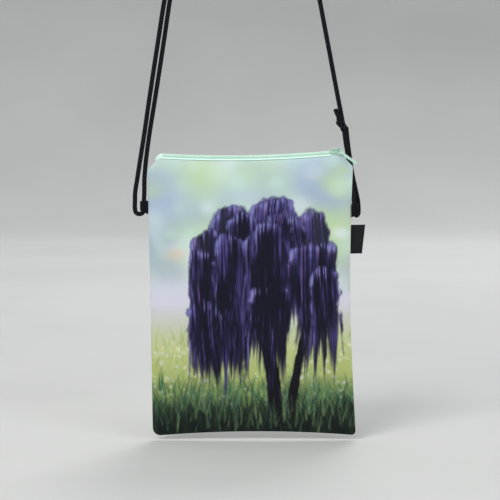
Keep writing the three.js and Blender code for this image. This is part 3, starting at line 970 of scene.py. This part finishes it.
def paint_curtain(base, x, z, curtain, seed):
    """One mass of long hanging shoots, which spread a little as they fall from a domed top"""
    at_x, top, half_width, _, length, tone = curtain
    fall = np.clip((top - z) / length, -1, 1.2)
    sway = 2.2 * np.sin(fall * 2.6 + seed)
    across = (x - at_x - sway) / (half_width * (1 + 0.14 * np.maximum(fall, 0)))
    cover, roof = curtain_cover(x, z, fall, across, curtain, seed)
    strand = across * half_width
    fine = noise(strand, z / 22, 0.85, seed + 4)
    broad = noise(strand, z / 9, 4.2, seed + 5)
    rosy = ramp(0.62, 0.9, noise(strand, z / 12, 3.1, seed + 6))
    lift = ramp(0.42, 0.95, 0.45 * fine + 0.55 * broad + 0.25 * tone)
    rim = np.exp(-(((roof - z) / 9) ** 2)) + 0.8 * np.exp(-(((across + 0.86) / 0.2) ** 2))
    shine = ramp(0.5, 0.95, 0.62 * fine + 0.3 * broad + 0.3 * rim + 0.12 * tone)
    base = blend(base, LEAF_DARK, (0.97 - 0.3 * tone) * cover)
    base = blend(base, LEAF_MIDDLE, 0.85 * cover * lift)
    base = blend(base, LEAF_LIGHT, 0.8 * cover * shine)
    base = blend(base, LEAF_ROSE, 0.5 * cover * shine * rosy)
    return blend(base, LEAF_PALE, 0.55 * cover * ramp(0.72, 1.0, 0.7 * fine + 0.45 * rim))


def paint_front(x, z):
    near = blades(260, 64, feet=(-126, -104), heights=(10, 26), palette=SHADE + THICKET)
    thin = blades(90, 67, feet=(-120, -98), heights=(12, 28), palette=THIN_BLADES)
    base = paint_meadow(paint_haze(x, z), x, z)
    for number, curtain in enumerate(leaf_curtains(CURTAINS, 8)):
        if number == CURTAINS_BEHIND:
            base = paint_trunks(base, x, z)
        base = paint_curtain(base, x, z, curtain, 100 + 10 * number)
    base = paint_blades(base, x, z, near, 0.8)
    base = blend(base, FOOT_SHADE, 0.72 * (1 - ramp(-112, -82, z)))
    return paint_blades(base, x, z, thin, 0.45)


def paint_back(x, z):
    """The same meadow, mirrored, with no tree"""
    return paint_meadow(paint_haze(-x, z), -x, z)


# Material helpers


class Nodes:
    """Short ways to add nodes to one material"""

    def __init__(self, name, roughness, **settings):
        self.material = bpy.data.materials.new(name)
        self.material.use_nodes = True
        self.tree = self.material.node_tree
        self.shader = self.tree.nodes["Principled BSDF"]
        self.shader.inputs["Roughness"].default_value = roughness
        for socket, value in settings.items():
            self.shader.inputs[socket.replace("_", " ")].default_value = value

    def add(self, kind, **inputs):
        made = self.tree.nodes.new(kind)
        for key, value in inputs.items():
            self.put(made, key.replace("_", " "), value)
        return made

    def put(self, made, key, value):
        socket = made.inputs[int(key)] if key.isdigit() else made.inputs[key]
        if isinstance(value, bpy.types.NodeSocket):
            self.tree.links.new(value, socket)
        else:
            socket.default_value = value

    def math(self, operation, first, second=0.0):
        made = self.tree.nodes.new("ShaderNodeMath")
        made.operation = operation
        self.put(made, "0", first)
        self.put(made, "1", second)
        return made.outputs[0]

    def split(self, vector):
        return self.add("ShaderNodeSeparateXYZ", Vector=vector).outputs

    def place(self):
        return self.add("ShaderNodeTexCoord").outputs["Object"]

    def uv(self):
        made = self.tree.nodes.new("ShaderNodeUVMap")
        made.uv_map = "along"
        return made.outputs["UV"]

    def scaled(self, vector, scale):
        made = self.add("ShaderNodeMapping", Vector=vector)
        made.inputs["Scale"].default_value = scale
        return made.outputs["Vector"]

    def noise(self, vector, scale, detail=3.0, roughness=0.5):
        settings = {"Scale": scale, "Detail": detail, "Roughness": roughness}
        return self.add("ShaderNodeTexNoise", Vector=vector, **settings).outputs["Fac"]

    def ramp(self, value, stops):
        made = self.add("ShaderNodeValToRGB", Fac=value)
        points = made.color_ramp.elements
        while len(points) < len(stops):
            points.new(0.5)
        for point, (position, colour) in zip(points, stops):
            point.position = position
            point.color = colour if len(colour) == 4 else (*colour, 1)
        return made.outputs["Color"]

    def multiply(self, share, first, second):
        """The first colour, darkened by that share of the second"""
        made = self.tree.nodes.new("ShaderNodeMix")
        made.data_type = "RGBA"
        made.blend_type = "MULTIPLY"
        for socket, value in ((0, share), (6, first), (7, second)):
            self.put(made, str(socket), value)
        return made.outputs[2]

    def bump(self, height, distance, strength=1.0, normal=None):
        made = self.add("ShaderNodeBump", Height=height, Strength=strength, Distance=distance * MM)
        if normal is not None:
            self.put(made, "Normal", normal)
        return made.outputs["Normal"]

    def finish(self, colour, normal=None, roughness=None):
        self.put(self.shader, "Base Color", colour)
        if normal is not None:
            self.put(self.shader, "Normal", normal)
        if roughness is not None:
            self.put(self.shader, "Roughness", roughness)
        return self.material

    def ripple(self, value, per_unit):
        """From 0 to 1 and back, per_unit times for each unit of value"""
        turned = self.math("MULTIPLY", value, per_unit * 2 * math.pi)
        wave = self.math("SINE", turned)
        return self.math("ADD", self.math("MULTIPLY", wave, 0.5), 0.5)


def screen(*colour):
    """A linear colour from screen values"""
    return tuple(float(value) for value in linear(colour)) + (1.0,)


# Materials. Those that several pieces share are made once.


@cache
def braid_material():
    """Black cord of eight plaited yarns, four each way, with painted shade in the grooves between the
    yarns and a few painted highlights on their crowns
    """
    n = Nodes("black_braid", 0.85, Specular_IOR_Level=0.15)
    turn, along, _ = n.split(n.uv())
    around = n.math("MULTIPLY", turn, 8)
    rise = n.math("MULTIPLY", along, 0.5)
    left = n.ripple(n.math("ADD", around, rise), 0.5)
    right = n.ripple(n.math("SUBTRACT", around, rise), 0.5)
    yarns = n.math("MULTIPLY", left, right)
    fibres = n.noise(n.scaled(n.uv(), (40, 6, 1)), 1.0, 2.0)
    height = n.math("ADD", yarns, n.math("MULTIPLY", fibres, 0.35))
    # Painted light and shade: darker where the yarns dip, lighter on their crowns, with random tone
    # from the fibres
    stops = [(0.2, screen(2, 3, 4)), (0.7, screen(12, 14, 19)), (1.0, screen(48, 53, 64))]
    yarn_shade_and_highlights = n.ramp(height, stops)
    return n.finish(yarn_shade_and_highlights, n.bump(height, 0.35))


@cache
def ribbon_material():
    """Black grosgrain, with ribs across its width"""
    n = Nodes("black_ribbon", 0.8, Specular_IOR_Level=0.15)
    _, along, _ = n.split(n.uv())
    ribs = n.ripple(along, 1.6)
    fine = n.noise(n.place(), 2600, 2.0)
    height = n.math("ADD", ribs, n.math("MULTIPLY", fine, 0.4))
    # Painted light and shade: the ribs' crests painted lighter and their hollows darker; the fine
    # noise adds random tone
    tone = n.ramp(height, [(0.1, screen(1, 2, 4)), (1.0, screen(11, 13, 20))])
    return n.finish(tone, n.bump(height, 0.12))


def label_material():
    """Black satin weave, with fine threads both ways"""
    n = Nodes("black_label", 0.6, Specular_IOR_Level=0.2)
    x, _, z = n.split(n.place())
    warp = n.ripple(x, 3600)
    weft = n.ripple(z, 2400)
    height = n.math("ADD", n.math("MULTIPLY", warp, 0.5), weft)
    cloudy = n.noise(n.place(), 180, 3.0)
    tone = n.ramp(cloudy, [(0.3, screen(8, 9, 13)), (0.75, screen(16, 17, 23))])
    return n.finish(tone, n.bump(height, 0.06))


@cache
def tape_material():
    """Pale mint tape, woven in a herringbone"""
    n = Nodes("mint_tape", 0.75, Sheen_Weight=0.2)
    x, _, z = n.split(n.place())
    zigzag = n.math("PINGPONG", n.math("MULTIPLY", z, 1200), 1.0)
    slant = n.ripple(n.math("ADD", n.math("MULTIPLY", x, 1500), zigzag), 1.0)
    soft = n.noise(n.place(), 500, 3.0)
    height = n.math("ADD", slant, soft)
    # Painted light and shade: the herringbone's raised slants painted lighter and its dips darker;
    # the soft noise adds random tone
    tone = n.ramp(height, [(0.3, screen(190, 232, 214)), (1.0, screen(220, 246, 236))])
    return n.finish(tone, n.bump(height, 0.07))


def coil_material():
    """Mint nylon, slightly cloudy"""
    n = Nodes("mint_nylon", 0.42, Subsurface_Weight=0.05)
    soft = n.noise(n.place(), 300, 2.0)
    tone = n.ramp(soft, [(0.3, screen(196, 232, 214)), (0.7, screen(214, 242, 228))])
    return n.finish(tone, n.bump(soft, 0.02))


@cache
def enamel_material():
    """Mint enamel over cast metal, a little uneven in tone and gloss"""
    n = Nodes("mint_enamel", 0.34, Coat_Weight=0.35, Coat_Roughness=0.15)
    orange_peel = n.noise(n.place(), 900, 2.0)
    rubbed = n.noise(n.place(), 260, 4.0, 0.6)
    tone = n.ramp(rubbed, [(0.3, screen(152, 190, 171)), (0.72, screen(184, 215, 201))])
    rough = n.math("ADD", n.math("MULTIPLY", rubbed, 0.25), 0.24)
    return n.finish(tone, n.bump(orange_peel, 0.03), rough)


def printed_cloth(name):
    """Thin smooth cloth, printed, so the threads show only close up"""
    n = Nodes(name, 0.8, Sheen_Weight=0.02, Specular_IOR_Level=0.2)
    picture = n.add("ShaderNodeAttribute")
    picture.attribute_name = "print"
    x, _, z = n.split(n.place())
    warp = n.ripple(x, 2600)
    weft = n.ripple(z, 2600)
    both_low = n.math("MULTIPLY", n.math("SUBTRACT", 1.0, warp), n.math("SUBTRACT", 1.0, weft))
    weave = n.math("MAXIMUM", n.math("MULTIPLY", warp, weft), both_low)
    slubs = n.noise(n.scaled(n.place(), (1, 1, 6)), 700, 3.0)
    threads = n.math("ADD", n.math("MULTIPLY", weave, 0.6), n.math("MULTIPLY", slubs, 0.5))
    # Painted shade: the print darkened by up to a tenth where the weave dips between thread
    # crossings; the slubs add random tone
    grain = n.ramp(threads, [(0.1, (0.9, 0.9, 0.9)), (0.9, (1.0, 1.0, 1.0))])
    tone = n.multiply(1.0, picture.outputs["Color"], grain)
    creases = n.noise(n.place(), 60, 4.0, 0.55)
    folded = n.bump(creases, 0.5, 0.5)
    return n.finish(tone, n.bump(threads, 0.05, 1.0, folded))


@cache
def beech_material():
    """Oiled beech: fine grain along the rail, with short dark flecks"""
    n = Nodes("oiled_beech", 0.45, Coat_Weight=0.1, Coat_Roughness=0.35)
    grain = n.noise(n.scaled(n.place(), (10, 90, 130)), 1.0, 6.0, 0.62)
    rings = n.noise(n.scaled(n.place(), (3, 24, 34)), 1.0, 3.0)
    flecks = n.noise(n.scaled(n.place(), (160, 1400, 1400)), 1.0, 2.0)
    figure = n.math("ADD", n.math("MULTIPLY", grain, 0.6), n.math("MULTIPLY", rings, 0.5))
    stops = [
        (0.3, screen(168, 122, 80)),
        (0.55, screen(206, 162, 116)),
        (0.8, screen(222, 184, 142)),
    ]
    tone = n.ramp(figure, stops)
    fleck = n.ramp(flecks, [(0.64, (1, 1, 1)), (0.72, (0.72, 0.66, 0.6))])
    tone = n.multiply(0.8, tone, fleck)
    return n.finish(tone, n.bump(figure, 0.15, 0.6))


@cache
def steel_material():
    """Satin steel with fine scratches"""
    n = Nodes("satin_steel", 0.32, Metallic=1.0)
    scratches = n.noise(n.scaled(n.place(), (900, 100, 900)), 1.0, 4.0)
    tone = n.ramp(scratches, [(0.3, screen(176, 177, 180)), (0.7, screen(206, 207, 210))])
    rough = n.math("ADD", n.math("MULTIPLY", scratches, 0.2), 0.22)
    return n.finish(tone, n.bump(scratches, 0.01), rough)


def paper_material():
    """Pale paper, faintly mottled"""
    n = Nodes("pale_paper", 0.9)
    mottled = n.noise(n.place(), 3.0, 2.0)
    return n.finish(n.ramp(mottled, [(0.3, (0.6, 0.6, 0.59)), (0.7, (0.64, 0.64, 0.63))]))


# The peg rail and its screws


def lathe(name, profile, at):
    """Turns a profile of (radius, distance along -Y) about a line through a point"""
    line = smooth_line([(radius, along, 0) for radius, along in profile], 0.6)
    angles = np.linspace(0, 2 * math.pi, PEG_SIDES, endpoint=False)
    rings = []
    for radius, along, _ in line:
        circle = [(radius * math.cos(a), radius * math.sin(a)) for a in angles]
        rings.append([(at[0] + x, at[1] - along, at[2] + z) for x, z in circle])
    return loft(name, rings)


def make_pegs():
    for sign, side in ((-1, "left"), (1, "right")):
        at = (sign * PEG_X, -RAIL_DEPTH - CLEARANCE, 0)
        peg = lathe(f"turned_peg_{side}", PEG_PROFILE, at)
        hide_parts(f"peg_{side}")
        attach(peg, "pouch")
        peg.data.materials.append(beech_material())


def make_rail():
    rail = rounded_copy("peg_rail", "beech_rail", RAIL_EDGE)
    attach(rail, "pouch")
    rail.data.materials.append(beech_material())


def make_screws():
    for side in ("left", "right"):
        head = rounded_copy(f"screw_{side}", f"screw_head_{side}", SCREW_EDGE)
        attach(head, "pouch")
        head.data.materials.append(steel_material())


# Stage and light, in metres

FLOOR_GAP = 0.004
FLOOR_REACH = 2.6
FLOOR_CURVE = 1.4
WALL_TOP = 4.0
FLOOR_SIDES = 72


def floor_profile():
    """(distance from the middle, height) outwards along the floor and up its curved edge"""
    profile = [(1.6, 0.0), (FLOOR_REACH, 0.0)]
    for turn in np.linspace(0.1, math.pi / 2, 12):
        out = FLOOR_CURVE * math.sin(turn)
        profile.append((FLOOR_REACH + out, FLOOR_CURVE - FLOOR_CURVE * math.cos(turn)))
    return profile + [(FLOOR_REACH + FLOOR_CURVE, WALL_TOP)]


def make_stage():
    """A pale floor that curves up all round"""
    floor_z = cad_box[0].z - FLOOR_GAP
    points = [(0, 0, floor_z / MM)]
    profile = floor_profile()
    for radius, height in profile:
        for angle in np.linspace(0, 2 * math.pi, FLOOR_SIDES, endpoint=False):
            x = radius * math.cos(angle) / MM
            y = radius * math.sin(angle) / MM
            points.append((x, y, (floor_z + height) / MM))
    faces = [(0, 1 + k, 1 + (k + 1) % FLOOR_SIDES) for k in range(FLOOR_SIDES)]
    for ring in range(len(profile) - 1):
        low = 1 + ring * FLOOR_SIDES
        high = low + FLOOR_SIDES
        for k in range(FLOOR_SIDES):
            after = (k + 1) % FLOOR_SIDES
            faces.append((low + k, high + k, high + after, low + after))
    floor = mesh_object("floor", points, faces)
    floor.data.materials.append(paper_material())


def add_light(name, at, size, power, tint=(1, 1, 1)):
    """A round soft light that faces the middle of the view"""
    data = bpy.data.lights.new(name, "AREA")
    data.shape = "DISK"
    data.size = size
    data.energy = power
    data.color = tint
    light = bpy.data.objects.new(name, data)
    scene.collection.objects.link(light)
    light.location = at
    aim = VIEW_CENTRE - Vector(at)
    light.rotation_euler = aim.to_track_quat("-Z", "Y").to_euler()


def make_lights():
    add_light("key", at=(-1.3, -2.2, 1.5), size=1.8, power=62, tint=(1.0, 0.985, 0.96))
    add_light("fill", at=(1.8, -1.9, 0.4), size=2.0, power=26, tint=(0.94, 0.97, 1.0))
    add_light("rim", at=(0.6, 2.2, 1.7), size=1.6, power=34)
    world = bpy.data.worlds.new("soft_sky")
    world.use_nodes = True
    sky = world.node_tree.nodes["Background"]
    sky.inputs["Color"].default_value = (0.86, 0.9, 0.95, 1)
    sky.inputs["Strength"].default_value = 0.55
    scene.world = world


make_camera()
make_strap()
make_tabs()
make_label()
front_cloth = printed_cloth("printed_cloth")
back_cloth = printed_cloth("printed_back_cloth")
make_panel("front", -1, FRONT_GRID, 5, paint_front, front_cloth)
make_panel("back", 1, BACK_GRID, 6, paint_back, back_cloth)
make_tapes()
make_coil()
make_slider()
make_rail()
make_pegs()
make_screws()
make_stage()
make_lights()
